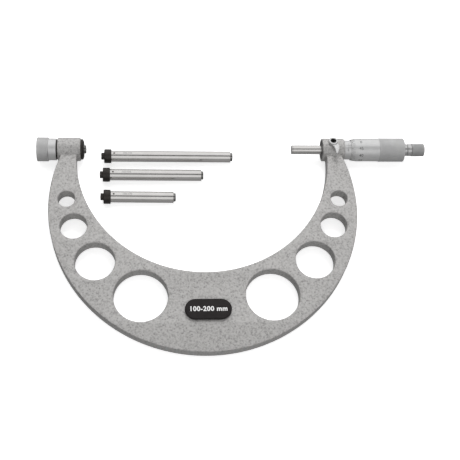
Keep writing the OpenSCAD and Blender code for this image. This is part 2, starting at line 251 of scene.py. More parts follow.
def bump(tree, shader, height, strength, distance):
    """Adds a bump on top of the shader's present normal."""
    node = tree.nodes.new("ShaderNodeBump")
    node.inputs["Strength"].default_value = strength
    node.inputs["Distance"].default_value = distance
    tree.links.new(height, node.inputs["Height"])
    present = shader.inputs["Normal"].links
    if present:
        tree.links.new(present[0].from_socket, node.inputs["Normal"])
    tree.links.new(node.outputs["Normal"], shader.inputs["Normal"])


def surface(tree, shader, texture, stops, wear, rough_low, rough_high):
    """Base colour by one texture and roughness by another."""
    tree.links.new(ramp(tree, texture, stops), shader.inputs["Base Color"])
    tree.links.new(spread(tree, wear, rough_low, rough_high), shader.inputs["Roughness"])


def grey(value, warm=0.0):
    """A grey, tinted towards yellow by a share of its brightness."""
    return (value * (1 + warm), value, value * (1 - warm))


def hammertone_paint():
    """Grey hammer finish: lighter swollen cells between darker dimples, over a slight speckle."""
    material, tree, shader, place = node_material("hammertone_paint")
    wander = noise(tree, place, 420, detail=2)
    offset = tree.nodes.new("ShaderNodeVectorMath")
    offset.operation = "MULTIPLY_ADD"
    tree.links.new(wander, offset.inputs[0])
    offset.inputs[1].default_value = (0.0016, 0.0016, 0.0016)
    tree.links.new(place, offset.inputs[2])
    cell = cells(tree, offset.outputs[0], 600)
    blotch = noise(tree, place, 620, detail=3, roughness=0.7)
    mixed = tree.nodes.new("ShaderNodeMath")
    mixed.operation = "MULTIPLY_ADD"
    tree.links.new(cell, mixed.inputs[0])
    mixed.inputs[1].default_value = 0.35
    tree.links.new(blotch, mixed.inputs[2])
    tones = [(0.46, grey(0.245, 0.02)), (0.60, grey(0.37, 0.02)), (0.76, grey(0.46, 0.018))]
    surface(tree, shader, mixed.outputs[0], tones, blotch, 0.34, 0.56)
    shader.inputs["Metallic"].default_value = 0.25
    shader.inputs["Coat Weight"].default_value = 0.25
    shader.inputs["Coat Roughness"].default_value = 0.25
    bump(tree, shader, mixed.outputs[0], 0.4, 0.0003)
    bump(tree, shader, cell, 0.3, 0.0003)
    return material


def black_oxide():
    """Blackened steel, worn a little lighter in patches."""
    material, tree, shader, place = node_material("black_oxide")
    patches = noise(tree, place, 260, detail=4, roughness=0.6)
    grain = noise(tree, place, 5000, detail=2)
    tones = [(0.3, (0.020, 0.018, 0.016)), (0.75, (0.048, 0.042, 0.038))]
    surface(tree, shader, patches, tones, patches, 0.32, 0.52)
    shader.inputs["Metallic"].default_value = 0.55
    bump(tree, shader, grain, 0.15, 0.00003)
    return material


def satin_chrome(name, low, high, rough, metallic=0.8):
    """Bead-blasted chrome: bright metal that scatters its reflections."""
    material, tree, shader, place = node_material(name)
    cloud = noise(tree, place, 180, detail=3)
    grain = noise(tree, place, 7000, detail=2)
    surface(tree, shader, cloud, [(0.3, grey(low)), (0.7, grey(high))], grain, rough - 0.05, rough + 0.08)
    shader.inputs["Metallic"].default_value = metallic
    bump(tree, shader, grain, 0.18, 0.00002)
    return material


def ground_steel(name, low, high, rough, rings=9000.0):
    """Cylindrically ground steel: fine rings round the measuring axis and a few faint stains."""
    material, tree, shader, place = node_material(name)
    marks = noise(tree, scaled(tree, place, (rings, 0.0, 0.0)), 1.0, detail=3)
    stain = noise(tree, place, 90, detail=4)
    tones = [(0.3, grey(low, 0.022)), (0.7, grey(high, 0.018))]
    surface(tree, shader, stain, tones, marks, rough - 0.03, rough + 0.04)
    shader.inputs["Metallic"].default_value = 1.0
    bump(tree, shader, marks, 0.02, 0.00001)
    return material


def badge_plastic():
    """Matt black plastic with a fine moulded grain."""
    material, tree, shader, place = node_material("badge_plastic")
    grain = noise(tree, place, 3500, detail=3)
    wear = noise(tree, place, 140, detail=3)
    tones = [(0.3, (0.012, 0.010, 0.010)), (0.75, (0.020, 0.017, 0.017))]
    surface(tree, shader, wear, tones, grain, 0.5, 0.68)
    shader.inputs["Specular IOR Level"].default_value = 0.25
    bump(tree, shader, grain, 0.25, 0.00004)
    return material


def ink(name, low, high, rough, specular=0.5):
    """Paint in print or engraving, a little uneven; also the lock screw's near-black, which is partly painted
    shade.
    """
    material, tree, shader, place = node_material(name)
    uneven = noise(tree, place, 2600, detail=3)
    surface(tree, shader, uneven, [(0.3, grey(low)), (0.7, grey(high))], uneven, rough, rough + 0.15)
    shader.inputs["Specular IOR Level"].default_value = specular
    return material


def brass():
    """Turned brass with faint tarnish."""
    material, tree, shader, place = node_material("brass")
    tarnish = noise(tree, place, 400, detail=4)
    surface(tree, shader, tarnish, [(0.3, (0.52, 0.36, 0.14)), (0.7, (0.68, 0.50, 0.22))], tarnish, 0.22, 0.4)
    shader.inputs["Metallic"].default_value = 1.0
    return material


PAINT = hammertone_paint()
BLACK = black_oxide()
CHROME = satin_chrome("satin_chrome", 0.58, 0.64, 0.45, metallic=0.7)
KNURL_CHROME = satin_chrome("knurl_chrome", 0.50, 0.55, 0.55, metallic=0.65)
KNOB_CHROME = satin_chrome("knob_chrome", 0.39, 0.44, 0.50)
RATCHET_CHROME = satin_chrome("ratchet_chrome", 0.44, 0.50, 0.25)
POLISHED_CHROME = satin_chrome("polished_chrome", 0.55, 0.62, 0.25)
STEEL = ground_steel("ground_steel", 0.54, 0.58, 0.20)
INNER = ground_steel("inner_steel", 0.42, 0.50, 0.30, rings=2500.0)
CARBIDE = ground_steel("carbide", 0.16, 0.20, 0.22, rings=3000.0)
LAPPED = ground_steel("lapped_tip", 0.44, 0.50, 0.22, rings=3000.0)
PLASTIC = badge_plastic()
PRINT = ink("white_print", 0.80, 0.88, 0.45)
ENGRAVED = ink("engraved_black", 0.05, 0.09, 0.5)
FAINT = ink("etched_grey", 0.16, 0.24, 0.5)
# lock screw: its black finish plus painted shade in the lever's recess, darker than the black oxide and with
# its sheen taken out
SOCKET_BLACK_SHADE = ink("screw_black_painted_shade", 0.006, 0.012, 0.6, specular=0.08)
BRASS = brass()


# ---------------------------------------------------------------- mesh helpers

def placed(name, data):
    """A new object in the scene."""
    thing = bpy.data.objects.new(name, data)
    bpy.context.scene.collection.objects.link(thing)
    return thing


def finished(name, mesh, materials, body, replaces=(), matrix=None, sharp=30.0):
    """Makes an object of a mesh in millimetres, smooth up to an edge angle, riding on a body."""
    mesh.transform(Matrix.Diagonal((MM, MM, MM, 1.0)) @ (matrix or Matrix.Identity(4)))
    mesh.shade_smooth()
    mesh.set_sharp_from_angle(angle=math.radians(sharp))
    for material in materials:
        mesh.materials.append(material)
    piece = placed(name, mesh)
    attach(piece, body)
    if replaces:
        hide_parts(*replaces)


def mesh_of(bm):
    """A mesh of a bmesh, with its faces turned outwards."""
    bmesh.ops.recalc_face_normals(bm, faces=bm.faces)
    mesh = bpy.data.meshes.new("part")
    bm.to_mesh(mesh)
    bm.free()
    return mesh


def baked(holder):
    """The final mesh of a helper object, which is then removed."""
    bpy.context.view_layer.update()
    mesh = bpy.data.meshes.new_from_object(holder.evaluated_get(bpy.context.evaluated_depsgraph_get()))
    bpy.data.objects.remove(holder)
    return mesh


def lofted(rows):
    """A closed solid through sections that have the same number of points."""
    bm = bmesh.new()
    sections = [[bm.verts.new(point) for point in row] for row in rows]
    count = len(sections[0])
    for one, two in zip(sections, sections[1:]):
        for k in range(count):
            n = (k + 1) % count
            bm.faces.new((one[k], one[n], two[n], two[k]))
    bm.faces.new(sections[0])
    bm.faces.new(sections[-1])
    return mesh_of(bm)


def joined(meshes):
    """One mesh of several closed ones."""
    bm = bmesh.new()
    for mesh in meshes:
        bm.from_mesh(mesh)
    out = bpy.data.meshes.new("joined")
    bm.to_mesh(out)
    bm.free()
    return out


def rounded(corners, closed=False, steps=3, support=0.12):
    """Profile points from (x, radius, fillet) corners. A fillet is an arc between two support points."""
    points = []
    count = len(corners)
    for i, (x, r, fillet) in enumerate(corners):
        here = np.array([x, r], float)
        if fillet <= 0 or (not closed and i in (0, count - 1)):
            points.append(here)
            continue
        back = np.array(corners[i - 1][:2], float) - here
        on = np.array(corners[(i + 1) % count][:2], float) - here
        len_back, len_on = np.linalg.norm(back), np.linalg.norm(on)
        back, on = back / len_back, on / len_on
        corner = math.acos(np.clip(back @ on, -1, 1))
        if corner > math.radians(179):
            points.append(here)
            continue
        tangent = min(fillet / math.tan(corner / 2), 0.45 * len_back, 0.45 * len_on)
        radius = tangent * math.tan(corner / 2)
        bisector = (back + on) / np.linalg.norm(back + on)
        centre = here + bisector * math.hypot(tangent, radius)
        first = here + back * tangent - centre
        last = here + on * tangent - centre
        swing = math.acos(np.clip(first @ last / radius ** 2, -1, 1))
        if len_back > tangent + 2 * support:
            points.append(here + back * (tangent + support))
        for step in range(steps + 1):
            t = step / steps
            arc = (math.sin((1 - t) * swing) * first + math.sin(t * swing) * last) / math.sin(swing)
            points.append(centre + arc)
        if len_on > tangent + 2 * support:
            points.append(here + on * (tangent + support))
    return [(float(x), float(r)) for x, r in points]


def revolve(profile, closed=False, segments=128, relief=None):
    """A solid turned about the X axis. relief(x, r, turn) gives how far a point sinks below its radius."""
    bm = bmesh.new()
    turns = [2 * math.pi * k / segments for k in range(segments)]
    rings = []
    for x, r in profile:
        if r < 1e-6:
            rings.append([bm.verts.new((x, 0, 0))])
            continue
        radii = [r - (relief(x, r, turn) if relief else 0.0) for turn in turns]
        rings.append([
            bm.verts.new((x, radius * math.sin(turn), radius * math.cos(turn)))
            for radius, turn in zip(radii, turns)
        ])
    pairs = list(zip(rings, rings[1:]))
    if closed:
        pairs.append((rings[-1], rings[0]))
    for one, two in pairs:
        for k in range(segments):
            n = (k + 1) % segments
            if len(one) == 1 and len(two) > 1:
                bm.faces.new((one[0], two[n], two[k]))
            elif len(two) == 1 and len(one) > 1:
                bm.faces.new((one[k], one[n], two[0]))
            elif len(one) > 1:
                bm.faces.new((one[k], one[n], two[n], two[k]))
    return mesh_of(bm)


def with_band(mesh, x0, x1, radius):
    """Gives the second material to a turned mesh's outer faces between two stations."""
    for face in mesh.polygons:
        x, y, z = face.center
        if x0 < x < x1 and math.hypot(y, z) > radius:
            face.material_index = 1
    return mesh


def triangle_wave(value):
    """1 at whole numbers and 0 halfway between them."""
    return abs(2 * (value - math.floor(value)) - 1)


def diamond_knurl(x0, x1, radius, teeth, depth):
    """Relief of a diamond knurl on the outside of a part, fading out over half a pitch at both ends."""
    pitch = 2 * math.pi * radius / teeth

    def relief(x, r, turn):
        if not x0 < x < x1 or r < radius - depth:
            return 0.0
        u, v = turn * teeth / (2 * math.pi), (x - x0) / pitch
        height = min(triangle_wave(u + v), triangle_wave(u - v))
        fade = min(1.0, (x - x0) / (0.5 * pitch), (x1 - x) / (0.5 * pitch))
        return depth * (1 - height) * fade

    return relief, pitch


def band(x0, x1, radius, pitch, per_pitch=4):
    """Profile points of a knurled band, four to each pitch."""
    count = max(2, round((x1 - x0) / pitch * per_pitch))
    return [(x0 + (x1 - x0) * k / count, radius) for k in range(count + 1)]


def polar(centre, radius, degrees):
    angle = math.radians(degrees)
    return (centre[0] + radius * math.cos(angle), centre[1] + radius * math.sin(angle))


def plate(outlines, thickness, edge, rings=4):
    """A flat plate with rounded edges. The first outline is its border and the others are openings."""
    curve = bpy.data.curves.new("outline", "CURVE")
    curve.dimensions = "2D"
    curve.fill_mode = "BOTH"
    curve.extrude = thickness / 2 - edge
    curve.bevel_depth = edge
    curve.bevel_resolution = rings
    curve.offset = -edge
    for outline in outlines:
        spline = curve.splines.new("POLY")
        spline.points.add(len(outline) - 1)
        for point, (x, y) in zip(spline.points, outline):
            point.co = (x, y, 0, 1)
        spline.use_cyclic_u = True
    shape = baked(placed("outline", curve))
    bpy.data.curves.remove(curve)
    bm = bmesh.new()
    bm.from_mesh(shape)
    bmesh.ops.remove_doubles(bm, verts=bm.verts, dist=0.001)
    return mesh_of(bm)


def text_mesh(text, height, weight=0.0, depth=0.1, space=1.0):
    """Lettering in the built-in font as a closed solid, centred on the origin and facing +Z."""
    curve = bpy.data.curves.new("text", "FONT")
    curve.body = text
    curve.size = height / 0.7
    curve.align_x = "CENTER"
    curve.offset = weight
    curve.extrude = depth / 2
    curve.space_character = space
    curve.resolution_u = 3
    shape = baked(placed("text", curve))
    bpy.data.curves.remove(curve)
    bm = bmesh.new()
    bm.from_mesh(shape)
    bmesh.ops.remove_doubles(bm, verts=bm.verts, dist=0.0005)
    bmesh.ops.translate(bm, verts=bm.verts, vec=(0, -height / 2, 0))
    return mesh_of(bm)


def box_mesh(x0, x1, y0, y1, depth=0.1):
    bm = bmesh.new()
    bmesh.ops.create_cube(bm, size=1.0)
    for vertex in bm.verts:
        vertex.co = Vector((
            x0 + (vertex.co.x + 0.5) * (x1 - x0), y0 + (vertex.co.y + 0.5) * (y1 - y0), vertex.co.z * depth,
        ))
    return mesh_of(bm)


def wrapped(mesh, x, turn, radius_at, lift=0.02, step=0.35):
    """Lays a flat mark round the X axis, cut in steps so that it bends, with its front a hair proud."""
    bm = bmesh.new()
    bm.from_mesh(mesh)
    heights = [vertex.co.y for vertex in bm.verts]
    cut = math.ceil(min(heights) / step) * step
    while cut < max(heights):
        bmesh.ops.bisect_plane(bm, geom=bm.verts[:] + bm.edges[:] + bm.faces[:],
                               plane_co=(0, cut, 0), plane_no=(0, 1, 0))
        cut += step
    front = max(vertex.co.z for vertex in bm.verts)
    for vertex in bm.verts:
        px, py, pz = vertex.co
        base = radius_at(x + px)
        around = turn + py / base
        r = base + lift + (pz - front)
        vertex.co = Vector((x + px, r * math.sin(around), r * math.cos(around)))
    return mesh_of(bm)


# ---------------------------------------------------------------- bow

def direction_at(y, radius, drop):
    """Direction below level, in degrees, in which one of the bow's edges reaches a height."""
    return math.degrees(math.asin((-y - drop) / radius))


def edge_point(side, radius, drop, degrees, outward, overlap=0.2):
    """A point of the bow's outer or inner edge, drawn out sideways by the fillet under the hub."""
    x, y = polar((0, -drop), radius, -degrees)
    below = overlap - HUB_LINE - y
    if below < FLARE_R:
        away = FLARE_R - max(below, 0.0)
        x += outward * (FLARE_R - math.sqrt(FLARE_R ** 2 - away ** 2))
    return (mid_x + side * x, y)


def edge_angles(radius, drop, top=-7.1, fine=0.12, fine_count=24, coarse=1.2):
    """Directions below level from inside the hub to straight down, close together near the hub."""
    start = direction_at(top, radius, drop)
    angles = [start + fine * k for k in range(fine_count)]
    rest = np.linspace(angles[-1], 90, round((90 - angles[-1]) / coarse) + 1)
    return angles + list(rest[1:])


def bow_outline():
    outer = edge_angles(OUTER_R, OUTER_DROP)
    inner = edge_angles(INNER_R, INNER_DROP)
    outline = [edge_point(-1, OUTER_R, OUTER_DROP, a, 1) for a in outer]
    outline += [edge_point(1, OUTER_R, OUTER_DROP, a, 1) for a in reversed(outer[:-1])]
    outline += [edge_point(1, INNER_R, INNER_DROP, a, -1) for a in inner]
    outline += [edge_point(-1, INNER_R, INNER_DROP, a, -1) for a in reversed(inner[:-1])]
    return outline


def hole_outlines(sides=72):
    drop = OUTER_DROP - INNER_DROP
    outlines = []
    for side in (-1, 1):
        for degrees, radius in HOLES:
            angle = math.radians(degrees)
            outer = drop * math.sin(angle) + math.sqrt(OUTER_R ** 2 - (drop * math.cos(angle)) ** 2)
            reach = (INNER_R + outer) / 2 - HOLE_INSET
            centre = (mid_x + side * reach * math.cos(angle), -INNER_DROP - reach * math.sin(angle))
            outlines.append([polar(centre, radius, 360 * k / sides) for k in range(sides)])
    return outlines


def hub(x0, bore, fillet=1.0):
    """A hub of the bow. The face round its bore, at its left end, takes the second material (black) as
    painted shade on that end face.
    """
    x1 = x0 + HUB_LEN
    shape = revolve(rounded([
        (x0, bore, 0.2), (x0, HUB_SHADE_DISC_R, 0), (x0, HUB_R, fillet), (x1, HUB_R, fillet), (x1, bore, 0.2),
    ], closed=True), closed=True)
    for face in shape.polygons:
        # painted shade: the end face round the bore turns black
        x, y, z = face.center
        if x < x0 + 0.01 and math.hypot(y, z) < HUB_SHADE_DISC_R:
            face.material_index = 1
    return shape


def web(side, face, steps=8, stations=25):
    """Casting fillet between one face of the bow and a hub, as a closed wedge that dies out at its ends."""
    half = BOW_T / 2
    centre_y = -math.sqrt((HUB_R + WEB_R) ** 2 - (half + WEB_R) ** 2)
    centre_z = half + WEB_R
    start = math.radians(-90)
    end = math.atan2(-centre_z, -centre_y)
    section = [
        (centre_y + WEB_R * math.cos(start + (end - start) * k / steps),
         centre_z + WEB_R * math.sin(start + (end - start) * k / steps))
        for k in range(steps + 1)
    ]
    base = half - WEB_ROOT
    section += [(centre_y + WEB_R + 0.2, base), (centre_y, base)]
    rows = []
    for k in range(stations):
        row = []
        t = (1 - math.cos(math.pi * k / (stations - 1))) / 2
        height = max(0.02, 1 - abs(2 * t - 1) ** 4) ** 0.5
        for y, z in section:
            x_out = edge_point(side, OUTER_R, OUTER_DROP, direction_at(y, OUTER_R, OUTER_DROP), 1)[0]
            x_in = edge_point(side, INNER_R, INNER_DROP, direction_at(y, INNER_R, INNER_DROP), -1)[0]
            low, high = x_out - side * BOW_EDGE, x_in + side * BOW_EDGE
            row.append((low + (high - low) * t, y, face * (base + (z - base) * height)))
        rows.append(row)
    return lofted(rows)


def build_bow():
    bow = plate([bow_outline()] + hole_outlines(), BOW_T, BOW_EDGE)
    shapes = [bow, hub(hub_left_x, BUSH_R), hub(hub_right_in, SPINDLE_R + 0.05)]
    shapes += [web(side, face) for side in (-1, 1) for face in (-1, 1)]
    # the second material, black, is also painted shade on the hubs' end faces
    finished("bow_cast", joined(shapes), [PAINT, BLACK], "frame", ["frame"], sharp=22.0)


def build_badge():
    low, high = cad_box("badge_pad")
    centre = (low + high) / 2
    radius = (high.y - low.y) / 2
    half = (high.x - low.x) / 2 - radius
    outline = [polar((half, 0), radius, a) for a in range(-90, 91, 6)]
    outline += [polar((-half, 0), radius, a) for a in range(90, 271, 6)]
    thickness = high.z - low.z + HIDDEN_DEPTH
    pad = plate([outline], thickness, 0.7)
    place = Matrix.Translation((centre.x, centre.y, high.z - thickness / 2))
    finished("badge_plate", pad, [PLASTIC], "frame", ["badge_pad"], place, sharp=22.0)
    label = text_mesh("100-200 mm", 3.9, weight=0.17, depth=0.2, space=1.08)
    place = Matrix.Translation((centre.x, centre.y, high.z - 0.06))
    finished("badge_print", label, [PRINT], "frame", matrix=place)


# ---------------------------------------------------------------- anvil end

def build_bush():
    flange_r = cad_radius("anvil_bush")
    bore = ROD_R + FIT
    profile = rounded([
        (bush_x0, bore, 0), (bush_x0, BUSH_R, 0.3), (hub_left_in, BUSH_R, 0), (hub_left_in, flange_r, 0.15),
        (bush_x1 - 1.1, flange_r, 0.3), (bush_x1, BUSH_R, 0.2), (bush_x1, bore, 0.15),
    ], closed=True)
    finished("bush_turned", revolve(profile, closed=True), [BLACK], "frame", ["anvil_bush"])
    low, high = cad_box("stop_ring")
    profile = rounded([
        (low.x, BUSH_R, 0), (low.x, high.y, 0.2), (high.x, high.y, 0.1), (high.x, BUSH_R, 0),
    ], closed=True)
    finished("ring_turned", revolve(profile, closed=True), [BLACK], "frame", ["stop_ring"])


def build_cap():
    """Clamp cap: knurled grip, sloped step, plain neck, and the chamber for the anvil's collar."""
    radius = cad_radius("clamp_cap")
    step_x = cap_x0 + CAP_KNURL_LEN
    knurl_x0, knurl_x1 = cap_x0 + 0.9, step_x - 0.3
    teeth = 72
    relief, pitch = diamond_knurl(knurl_x0, knurl_x1, radius, teeth, 0.22)
    wall = cad_ends("thrust_pad")[0]
    seat = bush_x0 - 0.6
    profile = rounded([(cap_x0, 0, 0), (cap_x0, radius, 0.9), (knurl_x0 + 0.05, radius, 0)], steps=5)
    profile += band(knurl_x0 + 0.1, knurl_x1, radius, pitch)
    profile += rounded([
        (knurl_x1 + 0.05, radius, 0), (step_x, radius, 0.1), (step_x + 0.8, CAP_NECK_R, 0.15),
        (cap_x1, CAP_NECK_R, 0.3), (cap_x1, BUSH_R + FIT, 0.15), (seat, BUSH_R + FIT, 0),
        (seat, CHAMBER_R, 0), (wall, CHAMBER_R, 0), (wall, 0, 0),
    ])
    cap = revolve(profile, segments=4 * teeth, relief=relief)
    finished("cap_knurled", with_band(cap, cap_x0 - 1, knurl_x1, CAP_NECK_R), [CHROME, KNURL_CHROME],
             "cap", ["clamp_cap"])


def anvil_matrix(name):
    """Places an anvil drawn with its collar's bearing face at x = 0 and its rod along +X."""
    collar = cad_centre(name + "_collar")
    along = (cad_centre(name + "_tip") - collar).normalized()
    face = collar + along * COLLAR_LEN / 2
    across = Vector((0, 1, 0))
    up = along.cross(across)
    matrix = Matrix((along, across, up)).transposed().to_4x4()
    matrix.translation = face
    length = (cad_centre(name + "_tip") - face).length + TIP_LEN / 2
    return matrix, length


def with_hole(mesh, matrix, radius, depth):
    """Drills a blind hole into a mesh, along the matrix's -Z from its origin."""
    bm = bmesh.new()
    bmesh.ops.create_cone(bm, cap_ends=True, segments=24, radius1=radius, radius2=radius, depth=2 * depth)
    bmesh.ops.transform(bm, matrix=matrix, verts=bm.verts)
    drill = placed("drill", mesh_of(bm))
    blank = placed("blank", mesh)
    boolean = blank.modifiers.new("hole", "BOOLEAN")
    boolean.object = drill
    boolean.solver = "EXACT"
    shape = baked(blank)
    bpy.data.objects.remove(drill)
    return shape


def build_anvil(body, mark):
    matrix, length = anvil_matrix(body)
    end = length - TIP_LEN
    nut_x0 = -COLLAR_LEN - END_NUT_LEN
    tail = nut_x0 + 0.3
    rod = revolve(rounded([
        (tail, 0, 0), (tail, STEM_R, 0), (0, STEM_R, 0), (0, ROD_R, 0.2),
        (end, ROD_R, 0.5), (end, 0, 0),
    ], steps=4))
    lean = Matrix.Rotation(math.radians(-ROD_HOLE_TURN), 4, "X")
    hole = lean @ Matrix.Translation((ROD_HOLE_X, 0, ROD_R))
    rod = with_hole(rod, hole, ROD_HOLE_R, ROD_HOLE_DEPTH)
    finished(body + "_rod_ground", rod, [STEEL], body, [body + "_rod"], matrix)
    tip = revolve(rounded([
        (end - HIDDEN_DEPTH, 0, 0), (end - HIDDEN_DEPTH, TIP_R, 0), (length, TIP_R, 0.2), (length, 0, 0),
    ]))
    finished(body + "_tip_ground", tip, [CARBIDE], body, [body + "_tip"], matrix)
    collar = revolve(rounded([
        (-COLLAR_LEN, STEM_R, 0), (-COLLAR_LEN, COLLAR_R, 0.45), (0, COLLAR_R, 0.45), (0, STEM_R, 0),
    ], closed=True), closed=True)
    finished(body + "_collar_turned", collar, [BLACK], body, [body + "_collar"], matrix)
    nut = revolve(rounded([
        (nut_x0, STEM_R, 0), (nut_x0, END_NUT_R, 0.35), (-COLLAR_LEN + 0.1, END_NUT_R, 0),
        (-COLLAR_LEN + 0.1, STEM_R, 0),
    ], closed=True), closed=True)
    finished(body + "_nut_turned", nut, [BLACK], body, [body + "_nut"], matrix)
    label = text_mesh(mark, 1.7, weight=0.02)
    label = wrapped(label, ROD_MARK_X, math.radians(ROD_MARK_TURN), lambda x: ROD_R)
    finished(body + "_mark", label, [FAINT], body, matrix=matrix)


# ---------------------------------------------------------------- micrometer head

def build_spindle():
    low, high = cad_box("spindle")
    screw_x = thimble_x0 - SCREW_LEAD_IN
    screw_end = thimble_x0 + SCREW_END
    profile = rounded([
        (low.x, 0, 0), (low.x, SPINDLE_R, 0), (screw_x, SPINDLE_R, 0.2), (screw_x + 0.4, SCREW_R, 0),
        (screw_end, SCREW_R, 0), (screw_end, TAIL_R, 0), (high.x, TAIL_R, 0.2),
        (high.x, SHANK_BORE + FIT, 0), (screw_end + 1, SHANK_BORE + FIT, 0), (screw_end + 1, 0, 0),
    ])
    finished("spindle_ground", revolve(profile), [STEEL], "spindle", ["spindle"])
    low, high = cad_box("spindle_tip")
    profile = rounded([
        (low.x, 0, 0), (low.x, SPINDLE_R, 0.2), (high.x, SPINDLE_R, 0), (high.x, 0, 0),
    ])
    finished("spindle_face_lapped", revolve(profile), [LAPPED], "spindle", ["spindle_tip"])


def build_sleeve():
    profile = rounded([
        (hub_right_x, SLEEVE_BORE, 0), (hub_right_x, SLEEVE_R, 0),
        (sleeve_x1, SLEEVE_R, 0.4), (sleeve_x1, SLEEVE_BORE, 0),
    ], closed=True)
    finished("sleeve_turned", revolve(profile, closed=True), [CHROME], "frame",
             ["graduated_sleeve"])

    def flat(x):
        return SLEEVE_R

    datum = box_mesh(0, sleeve_x1 - hub_right_x - 1.5, -0.09, 0.09)
    marks = [wrapped(datum, hub_right_x + 0.6, 0, flat)]
    for tick in range(round(TRAVEL / PITCH) + 1):
        x = ZERO_X + tick * PITCH
        whole = tick % 2 == 0
        size = TICK_FIVE if tick % 10 == 0 else (TICK_WHOLE if whole else TICK_BETWEEN)
        low, high = (-size, 0) if whole else (0, size)
        marks.append(wrapped(box_mesh(-0.07, 0.07, low, high), x, 0, flat))
    for number in range(0, TRAVEL + 1, 5):
        digits = text_mesh(str(number), SLEEVE_FIGURE)
        marks.append(wrapped(digits, ZERO_X + number, -SLEEVE_FIGURE_DROP / SLEEVE_R, flat))
    finished("sleeve_scale", joined(marks), [ENGRAVED], "frame")


def build_thimble():
    """Thimble: bevelled edge, plain barrel, knurled grip, and the bore that runs over the sleeve."""
    teeth = 72
    bore = SLEEVE_R + 0.12
    grip_x0 = thimble_x1 - GRIP_LEN
    knurl_x0, knurl_x1 = grip_x0 + 0.6, thimble_x1 - 1.2
    relief, pitch = diamond_knurl(knurl_x0, knurl_x1, GRIP_R, teeth, 0.2)
    bottom = thimble_x0 + SCREW_END + 0.05
    profile = rounded([
        (thimble_x0, bore, 0), (thimble_x0, THIMBLE_EDGE_R, 0.12),
        (thimble_x0 + THIMBLE_BEVEL, BARREL_R, 0.8), (grip_x0, BARREL_R, 0.1),
        (grip_x0 + 0.35, GRIP_R, 0.1), (knurl_x0 - 0.05, GRIP_R, 0),
    ], steps=4)
    profile += band(knurl_x0, knurl_x1, GRIP_R, pitch)
    profile += rounded([
        (knurl_x1 + 0.05, GRIP_R, 0), (thimble_x1, GRIP_R, 1.1), (thimble_x1, TAIL_R + FIT, 0),
        (bottom, TAIL_R + FIT, 0), (bottom, bore, 0),
    ], steps=5)
    thimble = revolve(profile, closed=True, segments=4 * teeth, relief=relief)
    finished("thimble_turned", with_band(thimble, knurl_x0 - 0.3, thimble_x1 + 1, BARREL_R - 0.1),
             [CHROME, KNURL_CHROME], "thimble", ["thimble"])

    slope = (BARREL_R - THIMBLE_EDGE_R) / THIMBLE_BEVEL

    def outside(x):
        return min(BARREL_R, THIMBLE_EDGE_R + slope * max(0.0, x - thimble_x0))

    start = READING / PITCH * 2 * math.pi
    step = 2 * math.pi / DIVISIONS
    marks = []
    for division in range(DIVISIONS):
        turn = division * step - start
        numbered = division % 5 == 0
        length, half = NUMBERED_TICK if numbered else PLAIN_TICK
        marks.append(wrapped(box_mesh(0.25, length, -half, half), thimble_x0, turn, outside))
        if numbered:
            digits = text_mesh(str(division), THIMBLE_FIGURE)
            marks.append(wrapped(digits, thimble_x0 + THIMBLE_FIGURE_X, turn, outside))
    finished("thimble_scale", joined(marks), [ENGRAVED], "thimble")


def ratchet_wheel(x0, x1):
    """Saw-toothed wheel that the sprung pawl runs over."""
    outline = []
    for tooth in range(TEETH):
        outline.append(polar((0, 0), WHEEL_R, 360 * tooth / TEETH))
        outline.append(polar((0, 0), WHEEL_R - TOOTH_DEPTH, 360 * (tooth + 0.96) / TEETH))
    bore = [polar((0, 0), SHANK_BORE, 360 * k / 32) for k in range(32)]
    wheel = plate([outline, bore], x1 - x0, 0.0)
    wheel.transform(Matrix.Translation(((x0 + x1) / 2, 0, 0)) @ Matrix.Rotation(math.radians(90), 4, "Y"))
    return wheel


def build_ratchet():
    base_x0, base_x1 = thimble_x1, ring_x0 - RATCHET_GAP
    floor_x = ring_x1 - RING_FLOOR
    base = revolve(rounded([
        (base_x0, SHANK_BORE, 0), (base_x0, RATCHET_R, 0.35), (base_x1, RATCHET_R, 0.5),
        (base_x1, SHANK_BORE, 0),
    ], closed=True, steps=5), closed=True)
    wheel = ratchet_wheel(base_x1 - HIDDEN_DEPTH, floor_x - WHEEL_CLEARANCE)
    finished("ratchet_base_turned", joined([base, wheel]), [RATCHET_CHROME], "thimble",
             ["ratchet_base"])
    ring = revolve(rounded([
        (ring_x0, RATCHET_BORE, 0.1), (ring_x0, RATCHET_R, 0.5), (ring_x1, RATCHET_R, 0.35),
        (ring_x1, SHANK_BORE + FIT, 0), (floor_x, SHANK_BORE + FIT, 0), (floor_x, RATCHET_BORE, 0),
    ], closed=True, steps=5), closed=True)
    finished("ratchet_ring_turned", ring, [RATCHET_CHROME], "ratchet", ["ratchet_ring"])
    radius = cad_radius("ratchet_knob")
    teeth = 44
    knurl_x0, knurl_x1 = knob_x0 + 0.7, knob_x1 - 1.0
    relief, pitch = diamond_knurl(knurl_x0, knurl_x1, radius, teeth, 0.18)
    recess_r, recess_x = 2.8, knob_x1 - 2
    profile = rounded([
        (knob_x0, SHANK_BORE + FIT, 0), (knob_x0, radius, 0.5), (knurl_x0 - 0.05, radius, 0),
    ], steps=4)
    profile += band(knurl_x0, knurl_x1, radius, pitch)
    profile += rounded([
        (knurl_x1 + 0.05, radius, 0), (knob_x1, radius, 0.8), (knob_x1, recess_r, 0.2),
        (recess_x, recess_r, 0), (recess_x, SHANK_BORE + FIT, 0),
    ], steps=4)
    finished("knob_knurled", revolve(profile, closed=True, segments=4 * teeth, relief=relief),
             [KNOB_CHROME], "ratchet", ["ratchet_knob"])


# ---------------------------------------------------------------- spindle lock

